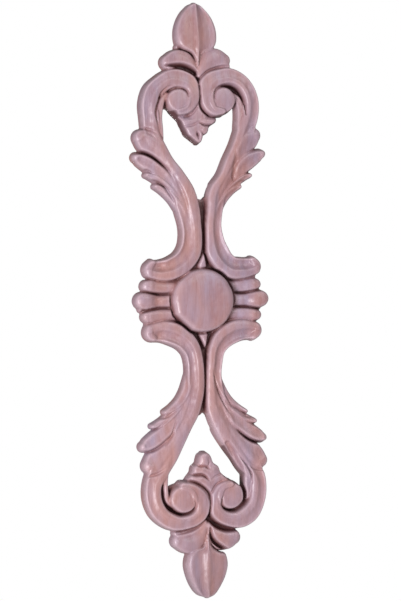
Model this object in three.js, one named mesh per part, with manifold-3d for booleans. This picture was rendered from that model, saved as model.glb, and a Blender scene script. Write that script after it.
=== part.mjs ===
// A tall, narrow wood applique, carved from one board: a round boss in the middle, four leafy
// S-scroll arms that curl into volutes above and below it, a bud with two sepals at each end,
// a little pendant between each pair of volutes, and a fan of three lobes at each side.
// Millimetres. X runs across the applique, Z up it, and the carving stands out from the flat
// back, which lies in the plane Y = 0, towards -Y. The origin is on the back, behind the boss.
import * as THREE from "three";
import { mergeVertices } from "three/addons/utils/BufferGeometryUtils.js";
import Module from "manifold-3d";

// Driving sizes
const overallLength = 400; // tip of one bud to tip of the other
const sideReach = 47; // middle to the tip of the middle fan lobe
const bossRadius = 21;
const bossHeight = 16; // the highest point of the carving, above the back
const bossEdgeHeight = 12.6;
const bossGap = 1.7; // the cut between the boss and everything around it
const webHeight = 4; // the ground left behind the carving, in the deep cuts
const stemHalfWidth = 6.5; // one scroll arm at its straight part
const stemGap = 2; // the cut between the two arms of a pair
const armHeight = 12;
const eyeRadius = 9; // the disc that a volute curls into
const voluteRadius = 21; // eye centre to the outside of the band, above the eye
const bandHalfWidth = 5.9; // the scroll band where it goes round the volute
const bandHeight = 12.6;
const eyeHeight = 13.8;
const voluteGap = 1; // the cut between the two volutes of a pair
const budReach = 67; // eye centres to the tip of the bud
const sepalGap = 1.8; // the cut between sepal and volute
const sepalHalfWidth = 6.2;
const sepalHeight = 11.2;
const budHalfWidth = 13.6;
const budHeight = 12.4;
const leafHeight = 10.6;
const fanHeight = 10.4;
const pendantHeight = 10.8;
const pendantReach = 30.5; // eye centres to the tip of the pendant
const edgeRoll = 3; // how far every rim rolls down before its wall starts

// Fineness of the faceted solid
const stationStep = 9;
const boss = { sides: 32 };
const eye = { sides: 20 };
const footDome = { sides: 10 };

const halfLength = overallLength / 2;
const voluteLevel = halfLength - budReach; // centre of the boss to the centres of the eyes
const boundary = bossRadius + bossGap;

// The leaf is drawn on an arm 110 mm long, from the boss to the eyes, and on a half width of
// 47 mm. It stretches with both.
const level = (mm) => boundary + (mm / 110) * (voluteLevel - boundary);
const across = (mm) => (mm / 47) * sideReach;
const turn = THREE.MathUtils.degToRad;

const wasm = await Module();
wasm.setup();

// A smooth curve through rows of numbers, at t from 0 to 1. Every column is carried along.
function along(rows, t) {
  const place = Math.min(Math.max(t, 0), 1) * (rows.length - 1);
  const i = Math.min(Math.floor(place), rows.length - 2);
  const f = place - i;
  const [a, b, c, d] = [Math.max(i - 1, 0), i, i + 1, Math.min(i + 2, rows.length - 1)];
  return rows[b].map((_, k) => {
    const [p, q, r, s] = [rows[a][k], rows[b][k], rows[c][k], rows[d][k]];
    const slopeIn = (r - p) / 2;
    const slopeOut = (s - q) / 2;
    return (
      (2 * q - 2 * r + slopeIn + slopeOut) * f ** 3 +
      (-3 * q + 3 * r - 2 * slopeIn - slopeOut) * f ** 2 +
      slopeIn * f +
      q
    );
  });
}

// How full a strand is at the distance from its end: 0 at the tip, 1 past a round end.
function roundEnd(distance, reach) {
  const left = Math.max(0, 1 - distance / reach);
  return Math.sqrt(Math.max(0, 1 - left * left));
}

// Sections are rows of [place across the strand from -1 to 1, drop below its crest].
const roll = [
  [-1, edgeRoll],
  [-0.78, 1],
  [0, 0],
  [0.78, 1],
  [1, edgeRoll],
];
const fluted = [
  [-1, edgeRoll],
  [-0.82, 0.6],
  [-0.56, 1.3],
  [-0.3, 0],
  [0.05, 1],
  [0.45, 1.6],
  [0.84, 0.8],
  [1, edgeRoll],
];
const ribbed = [
  [-1, edgeRoll + 1],
  [-0.86, 2],
  [-0.6, 2.6],
  [-0.25, 1.5],
  [0, 0],
  [0.25, 1.5],
  [0.6, 2.6],
  [0.86, 2],
  [1, edgeRoll + 1],
];
const flat = [
  [-1, 0],
  [1, 0],
];

// One closed solid from a grid of rings. Points that meet are merged, and flat faces go.
function solidFromRings(rings) {
  const positions = [];
  const faces = [];
  const count = rings[0].length;
  rings.forEach((ring) => ring.forEach((p) => positions.push(...p)));
  for (let i = 0; i + 1 < rings.length; i++) {
    for (let j = 0; j < count; j++) {
      const k = (j + 1) % count;
      const [a, b] = [i * count + j, i * count + k];
      faces.push(a, b, b + count, a, b + count, a + count);
    }
  }
  const raw = new THREE.BufferGeometry();
  raw.setAttribute("position", new THREE.Float32BufferAttribute(positions, 3));
  raw.setIndex(faces);
  const merged = mergeVertices(raw, 1e-3);
  const kept = [];
  const index = merged.index.array;
  for (let i = 0; i < index.length; i += 3) {
    const [a, b, c] = [index[i], index[i + 1], index[i + 2]];
    if (a !== b && b !== c && c !== a) kept.push(a, b, c);
  }
  return closedSolid(merged.attributes.position.array, kept);
}

// Faces are turned to point out, whichever way round the rings ran.
function closedSolid(points, triangles) {
  const at = (i) => new THREE.Vector3().fromArray(points, i * 3);
  let volume = 0;
  for (let i = 0; i < triangles.length; i += 3) {
    const [a, b, c] = [at(triangles[i]), at(triangles[i + 1]), at(triangles[i + 2])];
    volume += a.dot(b.cross(c));
  }
  const outward = triangles.slice();
  if (volume < 0) outward.reverse();
  return new wasm.Manifold(
    new wasm.Mesh({
      numProp: 3,
      vertProperties: Float32Array.from(points),
      triVerts: Uint32Array.from(outward),
    }),
  );
}

// A strand of carving: rows of [x, z, half width, crest height] along its middle, a section
// across it, and round ends. flute scales the section, and may be a function of t.
function strand(rows, { section = roll, flute = () => 1, ends = [1, 1], step = stationStep }) {
  const probe = Array.from({ length: 41 }, (_, i) => along(rows, i / 40));
  const distances = [0];
  for (let i = 1; i < probe.length; i++) {
    const [p, q] = [probe[i - 1], probe[i]];
    distances.push(distances[i - 1] + Math.hypot(q[0] - p[0], q[1] - p[1]));
  }
  const total = distances.at(-1);
  const timeAt = (distance) => {
    const i = Math.max(1, distances.findIndex((d) => d >= distance - 1e-9));
    const share = (distance - distances[i - 1]) / (distances[i] - distances[i - 1]);
    return (i - 1 + share) / 40;
  };
  const reach = [ends[0] * rows[0][2], ends[1] * rows.at(-1)[2]];
  const middle = total - reach[0] - reach[1];
  const count = Math.max(1, Math.round(middle / step));
  const shares = ends.map((end) => (end < 0.5 ? [0] : [0, 0.13, 0.5]));
  const stops = shares[0].map((s) => s * reach[0]);
  for (let i = 0; i <= count; i++) stops.push(reach[0] + (middle * i) / count);
  stops.push(...shares[1].reverse().map((s) => total - s * reach[1]));
  const rings = stops.map((stop) => {
    const t = timeAt(Math.min(stop, total));
    const [x, z, half, crest] = along(rows, t);
    const [before, after] = [along(rows, t - 0.002), along(rows, t + 0.002)];
    const heading = new THREE.Vector2(after[0] - before[0], after[1] - before[1]).normalize();
    const full = roundEnd(stop, reach[0]) * roundEnd(total - stop, reach[1]);
    const point = (u, height) => [
      x + heading.y * u * half * full,
      -height,
      z - heading.x * u * half * full,
    ];
    const top = section.map(([u, drop]) =>
      point(u, Math.max(crest - full * drop * flute(t) - (1 - full) * edgeRoll, webHeight)),
    );
    return [point(-1, 0), ...top, point(1, 0)];
  });
  return solidFromRings(rings);
}

// A flat-backed mound: outline(angle) gives the radius, and rows of [share of the radius,
// height] rise to the crown.
function mound(x, z, outline, rows, sides) {
  const ring = (share, height) =>
    Array.from({ length: sides }, (_, i) => {
      const angle = (2 * Math.PI * i) / sides;
      const r = outline(angle) * share;
      return [x + Math.cos(angle) * r, -height, z + Math.sin(angle) * r];
    });
  return solidFromRings([ring(0, 0), ring(1, 0), ...rows.map(([share, h]) => ring(share, h))]);
}

const dome = (height) => [
  [1, height - edgeRoll],
  [0.7, height - 0.8],
  [0, height],
];

// Pieces are drawn for the quarter with x and z above 0, and mirrored into place.
const mirrored = (rows, sx, sz) => rows.map(([x, z, ...rest]) => [x * sx, z * sz, ...rest]);

// The volute: its outline shrinks from the band's outside to the eye as it turns.
const turnShare = turn(115);
const spiral = (angle) => eyeRadius + (voluteRadius - eyeRadius) * Math.exp(-angle / turnShare);
const eyeCentre = [spiral(turn(90)) + voluteGap / 2, voluteLevel];

// The point at an angle from straight up, turning towards the centre line, round the eye.
function roundEye(degrees, radius) {
  const angle = turn(degrees);
  return [eyeCentre[0] - Math.sin(angle) * radius, eyeCentre[1] + Math.cos(angle) * radius];
}

// The point at an angle above the X axis, round the boss.
function roundBoss(degrees, radius) {
  return [Math.cos(turn(degrees)) * radius, Math.sin(turn(degrees)) * radius];
}

const stemCentre = stemHalfWidth + stemGap / 2;

// The scroll arm, from its flared foot beside the boss, up the stem and out along the leaf,
// then round the volute, where it narrows until it has sunk into the eye.
function armRows() {
  const foot = stemHalfWidth + 1.5;
  const inEye = (degrees, half, height) => [
    ...roundEye(degrees, spiral(turn(degrees)) - half),
    half,
    height,
  ];
  return [
    [...roundBoss(27.6, boundary + foot + 14.8), foot - 1.2, armHeight - 1.8],
    [...roundBoss(35, boundary + foot + 4.1), foot - 0.4, armHeight - 0.8],
    [...roundBoss(46, boundary + foot - 1), foot + 0.3, armHeight - 0.3],
    [...roundBoss(62, boundary + foot - 1), foot, armHeight],
    [...roundBoss(73.5, boundary + foot + 3.9), foot - 0.4, armHeight],
    [stemCentre + 0.8, level(18.3), stemHalfWidth + 0.4, armHeight],
    [stemCentre, level(27.3), stemHalfWidth, armHeight],
    [stemCentre + 0.6, level(37.2), stemHalfWidth, armHeight],
    [stemCentre + 3.8, level(48.4), stemHalfWidth + 0.4, armHeight],
    [eyeCentre[0] + 2.6, level(58.8), stemHalfWidth + 0.6, armHeight],
    [eyeCentre[0] + 8.2, level(68.5), stemHalfWidth + 0.4, armHeight],
    [eyeCentre[0] + 13.2, level(78.5), stemHalfWidth + 0.3, armHeight],
    [eyeCentre[0] + 17, level(88.5), stemHalfWidth, armHeight + 0.1],
    [eyeCentre[0] + 19.8, voluteLevel - 11.8, bandHalfWidth + 0.2, bandHeight - 0.3],
    [eyeCentre[0] + 20.5, voluteLevel - 2.5, bandHalfWidth, bandHeight],
    [...roundEye(-71, 18.9), bandHalfWidth, bandHeight],
    [...roundEye(-48, 17.2), bandHalfWidth, bandHeight],
    [...roundEye(-24, 16.3), bandHalfWidth, bandHeight],
    inEye(0, bandHalfWidth, bandHeight),
    inEye(28, bandHalfWidth - 0.4, bandHeight),
    inEye(56, bandHalfWidth - 1, bandHeight),
    inEye(90, bandHalfWidth - 2, bandHeight),
    inEye(130, bandHalfWidth - 3, bandHeight - 0.2),
    inEye(180, bandHalfWidth - 4, bandHeight - 0.6),
  ];
}

// The flutes of the stem die out on the way to the volute.
const armFlute = (t) => 1 - 0.65 * THREE.MathUtils.smoothstep(t, 0.46, 0.66);

function eyeDisc(sx, sz) {
  const outline = (angle) => {
    const fromTop = Math.atan2(-Math.cos(angle) * sx, Math.sin(angle) * sz);
    return spiral(fromTop + (fromTop < turn(150) ? 2 * Math.PI : 0));
  };
  const [x, z] = [eyeCentre[0] * sx, eyeCentre[1] * sz];
  const rows = [
    [1, eyeHeight - edgeRoll],
    [0.86, eyeHeight - 0.9],
    [0, eyeHeight],
  ];
  return mound(x, z, outline, rows, eye.sides);
}

// The thin strip that leaves the eye and runs down the inside of the arm.
function innerStrip() {
  const [x, z] = eyeCentre;
  return [
    [x + 7.2, z + 4.2, 1.8, armHeight - 3.2],
    [x + 10.9, z + 0.4, 2, armHeight - 2.8],
    [x + 12.4, z - 5.4, 1.9, armHeight - 2.4],
    [x + 12.5, z - 12, 1.8, armHeight - 2],
    [x + 11.9, z - 19, 1.6, armHeight - 1.6],
    [x + 10.3, z - 25, 1.3, armHeight - 1.2],
  ];
}

// Leaf lobes that leave the arm on its outer side, from the volute down to the stem.
// Rows of [x, z, half width, crest height].
const leafLobes = [
  [
    [across(15), level(54.3), 5, leafHeight - 0.4],
    [across(23), level(66.3), 6, leafHeight + 0.6],
    [across(30.2), level(76.8), 6.4, leafHeight + 0.9],
    [across(35.4), level(84.5), 6.6, leafHeight + 0.8],
    [across(37.8), level(93.5), 5.4, leafHeight + 0.4],
  ],
  [
    [across(12), level(39.3), 4, leafHeight],
    [across(17.5), level(51.3), 4.8, leafHeight + 0.2],
    [across(25.4), level(61.7), 5.2, leafHeight + 0.2],
    [across(34), level(68.3), 5.1, leafHeight - 0.4],
    [across(44.4), level(73.9), 4.2, leafHeight - 1.4],
  ],
  [
    [across(20), level(48.8), 3, leafHeight - 0.8],
    [across(26.5), level(54.9), 3.2, leafHeight - 0.8],
    [across(32), level(58.3), 3, leafHeight - 1.2],
    [across(37.2), level(60.7), 2.4, leafHeight - 1.8],
  ],
  [
    [across(10.6), level(27.3), 3.2, leafHeight - 0.4],
    [across(12.7), level(37.3), 3.4, leafHeight - 0.2],
    [across(17.3), level(45.3), 3.3, leafHeight - 0.6],
    [across(23.8), level(50.7), 2.9, leafHeight - 1.2],
    [across(30.4), level(53.5), 2.3, leafHeight - 1.8],
  ],
];

// Two domes swell the end of each flared foot: rows of [x, z, radius, height].
const footDomes = [
  [across(35.2), 23.2, 6.1, armHeight - 0.3],
  [across(34.8), 17.6, 5.4, armHeight - 0.7],
];

// The wedge that fills the fork between two feet.
const forkWedge = [
  [0, boundary + 0.2, 3.8, armHeight - 2.4],
  [0, boundary + 5, 2.1, armHeight - 2],
  [0, boundary + 10, 0.6, armHeight - 2.8],
];

// Three lobes spread from the boss to each side.
function fanRows(sz) {
  if (sz === 0) {
    return [
      [boundary, 0, 4.7, fanHeight - 2],
      [boundary + 9, 0, 4.6, fanHeight - 1.6],
      [sideReach - 9, 0, 5.6, fanHeight - 0.4],
      [sideReach, 0, 6.6, fanHeight - 1],
    ];
  }
  return [
    [boundary - 2.4, 8 * sz, 4.2, fanHeight - 2.8],
    [boundary + 6, 8.4 * sz, 4.3, fanHeight - 2.6],
    [sideReach - 12, 9.4 * sz, 4.5, fanHeight - 1.6],
    [sideReach - 5.8, 10.4 * sz, 4.5, fanHeight - 2],
  ];
}

// A sepal leaves the middle above the volutes and bends out over the volute beside it.
function sepalRows() {
  const clear = voluteRadius + sepalGap + sepalHalfWidth;
  return [
    [0.8, voluteLevel + 17.4, 2.2, sepalHeight - 1.4],
    [...roundEye(21, clear - 1.6), sepalHalfWidth - 1.6, sepalHeight - 0.2],
    [...roundEye(9.5, clear + 0.6), sepalHalfWidth - 0.2, sepalHeight],
    [...roundEye(-1, clear + 0.6), sepalHalfWidth, sepalHeight - 0.2],
    [...roundEye(-18, clear - 2.7), sepalHalfWidth - 1.2, sepalHeight - 1.2],
  ];
}

function budRows(sz) {
  const tip = halfLength;
  const w = budHalfWidth;
  return mirrored(
    [
      [0, tip - 43, 1.6, budHeight - 1],
      [0, tip - 37, w * 0.3, budHeight],
      [0, tip - 32, w * 0.68, budHeight],
      [0, tip - 27.5, w * 0.95, budHeight],
      [0, tip - 22, w, budHeight - 0.2],
      [0, tip - 15.5, w * 0.95, budHeight - 0.6],
      [0, tip - 9.6, w * 0.72, budHeight - 1.4],
      [0, tip - 4, w * 0.36, budHeight - 2.4],
      [0, tip, 1, budHeight - 3.2],
    ],
    1,
    sz,
  );
}

// The pendant is a stack of little petals that narrows to a knob.
function pendantRows() {
  const tip = voluteLevel - pendantReach;
  return {
    core: [
      [0, tip + 26, 9, pendantHeight - 1.8],
      [0, tip + 16, 8.4, pendantHeight - 1.4],
      [0, tip + 6, 5, pendantHeight - 1.6],
    ],
    petals: [
      [
        [1.5, tip + 21.5, 4.2, pendantHeight - 0.6],
        [7, tip + 18.6, 4.4, pendantHeight - 0.6],
        [13, tip + 16.8, 3.4, pendantHeight - 1.8],
      ],
      [
        [1.2, tip + 14.8, 3.6, pendantHeight],
        [4.8, tip + 12, 3.9, pendantHeight],
        [9.6, tip + 10.2, 3.2, pendantHeight - 1.2],
      ],
    ],
    knob: [
      [0, tip + 10.5, 4, pendantHeight + 0.4],
      [0, tip + 5.5, 5, pendantHeight + 0.4],
      [0, tip, 4.4, pendantHeight - 0.8],
    ],
  };
}

// The ground that ties the pieces together in the deep cuts.
function webs(sx, sz) {
  const [x, z] = eyeCentre;
  const low = webHeight;
  const rows = [
    [
      [0, bossRadius - 4, stemCentre - 1, low],
      [0, level(47.7), stemCentre - 4.5, low],
    ],
    [
      [x + 2, z + 1.4, 5.4, low],
      [x + 9, z + 3.4, 5.4, low],
      [x + 16, z + 7, 5, low],
    ],
    [
      [x + 12.6, z + 4, 2.8, low],
      [x + 13.2, z - 12, 2.8, low],
    ],
    [
      [...roundEye(-62, 11), 3.4, low],
      [...roundEye(-20, 10.4), 3.4, low],
      [...roundEye(20, 10), 3, low],
    ],
    [
      [-1, voluteLevel + 22, 4, low],
      [x - 6, voluteLevel + voluteRadius, 4.4, low],
      [x + 6, voluteLevel + voluteRadius - 1, 4.4, low],
    ],
    [
      [0, voluteLevel - 12, 4, low],
      [0, voluteLevel + voluteRadius - 4, 8, low],
      [0, voluteLevel + voluteRadius + 16, 12, low],
    ],
    [
      [bossRadius - 4, 0, 15, low],
      [sideReach - 6, 0, 12, low],
    ],
  ];
  return rows.map((r) => strand(mirrored(r, sx, sz), { section: flat, step: 12, ends: [0.3, 0.3] }));
}

function quarter(sx, sz) {
  const place = (rows) => mirrored(rows, sx, sz);
  const hand = sx * sz;
  const facing = (section) => (hand > 0 ? section : section.map(([u, d]) => [-u, d]).reverse());
  const pendant = pendantRows();
  return [
    strand(place(armRows()), { section: facing(fluted), flute: armFlute, ends: [0.8, 1] }),
    eyeDisc(sx, sz),
    strand(place(innerStrip()), { ends: [0.3, 1] }),
    ...leafLobes.map((rows) => strand(place(rows), { ends: [0.3, 1] })),
    ...place(footDomes).map(([x, z, r, h]) => mound(x, z, () => r, dome(h), footDome.sides)),
    strand(place(sepalRows()), {}),
    ...pendant.petals.map((rows) => strand(place(rows), { ends: [0.3, 1] })),
    ...webs(sx, sz),
  ];
}

function bossMound() {
  const rows = [
    [1, bossEdgeHeight],
    [0.93, bossHeight - 1.6],
    [0.7, bossHeight - 0.6],
    [0.35, bossHeight - 0.1],
    [0, bossHeight],
  ];
  const ground = mound(0, 0, () => boundary + 4, [[1, webHeight], [0, webHeight]], boss.sides);
  return [mound(0, 0, () => bossRadius, rows, boss.sides), ground];
}

function applique() {
  const solids = bossMound();
  for (const sz of [1, -1]) {
    for (const sx of [1, -1]) solids.push(...quarter(sx, sz));
    const pendant = pendantRows();
    solids.push(strand(budRows(sz), { section: ribbed, ends: [1, 1], step: 6 }));
    solids.push(strand(mirrored(forkWedge, 1, sz), { ends: [0.3, 0.3] }));
    solids.push(strand(mirrored(pendant.core, 1, sz), { ends: [0.3, 0.3], step: 12 }));
    solids.push(strand(mirrored(pendant.knob, 1, sz), { ends: [0.3, 1] }));
  }
  for (const sx of [1, -1]) {
    for (const sz of [-1, 0, 1]) {
      solids.push(strand(mirrored(fanRows(sz), sx, 1), { ends: [0.2, 1] }));
    }
  }
  return solids.reduce((whole, solid) => whole.add(solid));
}

// The joined solid as a three.js geometry.
function geometryOf(solid) {
  const mesh = solid.getMesh();
  const points = [];
  for (let i = 0; i < mesh.numVert; i++) {
    points.push(...mesh.vertProperties.subarray(i * mesh.numProp, i * mesh.numProp + 3));
  }
  const geometry = new THREE.BufferGeometry();
  geometry.setAttribute("position", new THREE.Float32BufferAttribute(points, 3));
  geometry.setIndex(Array.from(mesh.triVerts));
  return geometry;
}

const carvedWood = new THREE.MeshStandardMaterial({ color: 0xad8a8c, roughness: 0.5, metalness: 0 });
const carving = new THREE.Mesh(geometryOf(applique()), carvedWood);
carving.name = "applique";

const model = new THREE.Group();
model.add(carving);
export default model;
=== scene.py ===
import math

import bmesh
import bpy
import numpy as np
from mathutils import Matrix


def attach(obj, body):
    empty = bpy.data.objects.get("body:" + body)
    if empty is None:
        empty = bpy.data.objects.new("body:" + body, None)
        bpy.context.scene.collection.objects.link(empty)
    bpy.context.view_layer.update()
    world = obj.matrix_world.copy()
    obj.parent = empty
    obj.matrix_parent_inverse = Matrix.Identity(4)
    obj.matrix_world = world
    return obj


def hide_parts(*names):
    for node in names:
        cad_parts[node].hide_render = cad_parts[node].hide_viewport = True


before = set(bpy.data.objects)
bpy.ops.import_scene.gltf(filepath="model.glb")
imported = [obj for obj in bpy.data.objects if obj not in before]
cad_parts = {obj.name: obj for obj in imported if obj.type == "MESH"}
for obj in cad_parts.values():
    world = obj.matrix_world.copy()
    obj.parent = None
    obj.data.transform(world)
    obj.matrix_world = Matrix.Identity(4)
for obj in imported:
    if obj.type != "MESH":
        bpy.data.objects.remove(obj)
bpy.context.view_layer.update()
scene = bpy.context.scene
print("frame loaded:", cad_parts)

# The relief is carved as a height field in mm over the flat back: x across, z up.
carving = {
    "gridStep": 0.49,        # mm between points of the field
    "halfWide": 49.0,
    "halfTall": 201.6,
    "emptyHeight": -30.0,    # where there is no wood
    "topLimit": 15.98,       # just under the solid's 16 mm
    "wallSlope": 9.0,        # how steep the sawn walls are, mm down for each mm out
    "wallInset": 0.05,       # how far inside the rim a wall starts, for each mm of height
    "rimSoftness": 2.2,      # mm of height over which a rim rolls into its wall
    "rimLift": 0.12,
    "groundHeight": 4.0,     # the thin webs that tie the scrolls together
    "webLeft": 3.4,          # no groove goes deeper than this
    "cutThrough": -12.0,     # where the knife went right through
    "armBlend": 1.6,         # mm over which an arm flows into its leaf
    "steepest": 12.0,        # as steep as counts for the easing and the finish
    "easingPasses": 3,
    "handUnevenness": 0.16,  # mm, slow waves that a gouge leaves
    "waveLength": 4.0,
    "gougeMarks": 0.045,     # mm, the small ones
    "markLength": 1.1,
    "seed": 11,
}
ground = carving["groundHeight"]

xs = np.arange(-carving["halfWide"], carving["halfWide"] + 0.01, carving["gridStep"])
zs = np.arange(-carving["halfTall"], carving["halfTall"] + 0.01, carving["gridStep"])
gridX, gridZ = np.meshgrid(xs, zs)
height = np.full(gridX.shape, carving["emptyHeight"])


def curve(rows, spacing=0.7):
    # a smooth curve through rows of numbers, with every column carried along
    rows = np.asarray(rows, float)
    n = len(rows)
    length = np.hypot(*np.diff(rows[:, :2], axis=0).T).sum()
    t = np.linspace(0, n - 1, max(6, int(length / spacing)))
    i = np.minimum(t.astype(int), n - 2)
    f = (t - i)[:, None]
    before, a = rows[np.maximum(i - 1, 0)], rows[i]
    b, after = rows[i + 1], rows[np.minimum(i + 2, n - 1)]
    da, db = (b - before) / 2, (after - a) / 2
    return (2 * a - 2 * b + da + db) * f**3 + (3 * b - 3 * a - 2 * da - db) * f**2 + da * f + a


def nearest(path, reach):
    # for each grid point near a path: the window, the signed distance, the row there and the
    # share of the way along
    low, high = path[:, :2].min(0) - reach, path[:, :2].max(0) + reach
    c0, c1 = np.searchsorted(xs, [low[0], high[0]])
    r0, r1 = np.searchsorted(zs, [low[1], high[1]])
    px, pz = gridX[r0:r1, c0:c1].ravel(), gridZ[r0:r1, c0:c1].ravel()
    best = np.full(len(px), 1e9)
    seg, part, side = np.zeros(len(px), int), np.zeros(len(px)), np.ones(len(px))
    for k in range(len(path) - 1):
        ax, az = path[k, :2]
        dx, dz = path[k + 1, :2] - path[k, :2]
        f = np.clip(((px - ax) * dx + (pz - az) * dz) / (dx * dx + dz * dz + 1e-12), 0, 1)
        away = (px - ax - f * dx) ** 2 + (pz - az - f * dz) ** 2
        near = away < best
        best[near], seg[near], part[near] = away[near], k, f[near]
        side[near] = np.sign(dx * (pz[near] - az) - dz * (px[near] - ax))
    shape = (r1 - r0, c1 - c0)
    away = (np.sqrt(best) * np.where(side == 0, 1, side)).reshape(shape)
    rowsThere = path[seg] + (path[seg + 1] - path[seg]) * part[:, None]
    share = ((seg + part) / (len(path) - 1)).reshape(shape)
    return (slice(r0, r1), slice(c0, c1)), away, rowsThere.reshape(*shape, -1), share


def smoothMax(a, b, k):
    return np.maximum(a, b) + k * np.clip(1 - np.abs(a - b) / k, 0, None) ** 2 / 4


def section(points):
    # how far the surface lies under the crest, across a strand from -1 to 1
    dense = curve(points, 0.01)
    return lambda u: np.interp(u, dense[:, 0], dense[:, 1])


def mirrored(f):
    return lambda u: f(-u)


def wallFall(away, half, crest, beyond=0.0):
    # how far the surface has fallen on the sawn wall outside a half width
    past = np.maximum(np.abs(away) - half + carving["wallInset"] * crest, beyond)
    return smoothMax(past * carving["wallSlope"], -1.0, carving["rimSoftness"]) - carving["rimLift"]


def strand(rows, cross, blend=0.7, tipCross=None):
    # rows of x, z, half width, crest height; round at both ends
    path = curve(rows)
    window, away, there, share = nearest(path, path[:, 2].max() + 3)
    half, crest = np.maximum(there[..., 2], 0.2), there[..., 3]
    u = np.clip(away / half, -1, 1)
    drop = cross(u)
    if tipCross is not None:  # even on both sides where the tip turns round
        ending = np.clip((share - 0.7) / 0.28, 0, 1) ** 2
        drop = drop * (1 - ending) + tipCross(u) * ending
    height[window] = smoothMax(height[window], crest - drop - wallFall(away, half, crest), blend)


def groove(rows, power=1.4, lean=0.0):
    # rows of x, z, half width, depth; lean makes one side wider than the other
    path = curve(rows, 0.5)
    window, away, there, _ = nearest(path, path[:, 2].max() * (1 + abs(lean)) + 0.8)
    width = there[..., 2] * np.where(away > 0, 1 + lean, 1 - lean)
    u = np.clip(np.abs(away) / np.maximum(width, 0.05), 0, 1)
    before = height[window]
    floor = np.minimum(before, carving["webLeft"])
    height[window] = np.maximum(before - there[..., 3] * (1 - u) ** power, floor)


def mound(rows):
    # rows of x, z, half width, height; below zero it is a soft hollow
    path = curve(rows, 0.5)
    window, away, there, _ = nearest(path, path[:, 2].max() + 0.8)
    u = np.clip(np.abs(away) / np.maximum(there[..., 2], 0.05), 0, 1)
    height[window] += there[..., 3] * (1 - u**2) ** 2


# Cross-sections, from one rim at -1 to the other at 1: how far the surface lies under the crest
roll = section([(-1, 3.2), (-0.85, 1.5), (-0.5, 0.35), (0, 0), (0.5, 0.35), (0.85, 1.5), (1, 3.2)])
softRoll = section([(-1, 4.2), (-0.85, 2.2), (-0.5, 0.6), (0, 0), (0.5, 0.6), (0.85, 2.2), (1, 4.2)])
flat = section([(-1, 0), (0, 0), (1, 0)])
edgeCross = section([(-1, 3), (-0.86, 1), (-0.5, 0.1), (0, 0), (0.5, 0.1), (0.86, 1), (1, 3)])
valleyCross = section([(-1, 0), (-0.5, 0), (-0.22, 0), (-0.14, 0.12), (0.1, 0.75), (0.34, 1),
                       (0.56, 0.85), (0.74, 0.3), (0.8, 0.06), (0.88, 0), (1, 0)])
fallCross = section([(-1, 0), (-0.3, 0), (0.1, 0.15), (0.5, 0.5), (1, 1)])
leafCross = section([(-1, 3.2), (-0.8, 2.1), (-0.4, 1.5), (0, 1.1), (0.4, 0.25), (0.66, 0),
                     (0.88, 0.7), (1, 2.4)])
petalCross = section([(-1, 3.4), (-0.8, 1.4), (-0.4, 0.2), (0, 0), (0.4, 0.35), (0.8, 1.4), (1, 3.2)])
budCross = section([(-1, 5), (-0.93, 2.8), (-0.8, 1.9), (-0.6, 2.5), (-0.28, 1.5), (-0.06, 0.15),
                    (0, 0), (0.06, 0.2), (0.17, 0.95), (0.32, 1.2), (0.52, 1.1), (0.75, 1.5),
                    (0.92, 2.9), (1, 5)])
lowBudCross = section([(-1, 5), (-0.94, 2.9), (-0.85, 1.4), (-0.7, 0.9), (-0.45, 1.8),
                       (-0.24, 1.45), (-0.05, 0.1), (0.05, 0), (0.2, 0.7), (0.45, 1.2), (0.65, 1.6),
                       (0.85, 2.3), (0.94, 3.2), (1, 5)])
discCross = section([(-1, 2.2), (-0.9, 1.1), (-0.6, 0.4), (0, 0), (0.6, 0.4), (0.9, 1.1), (1, 2.2)])

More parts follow.
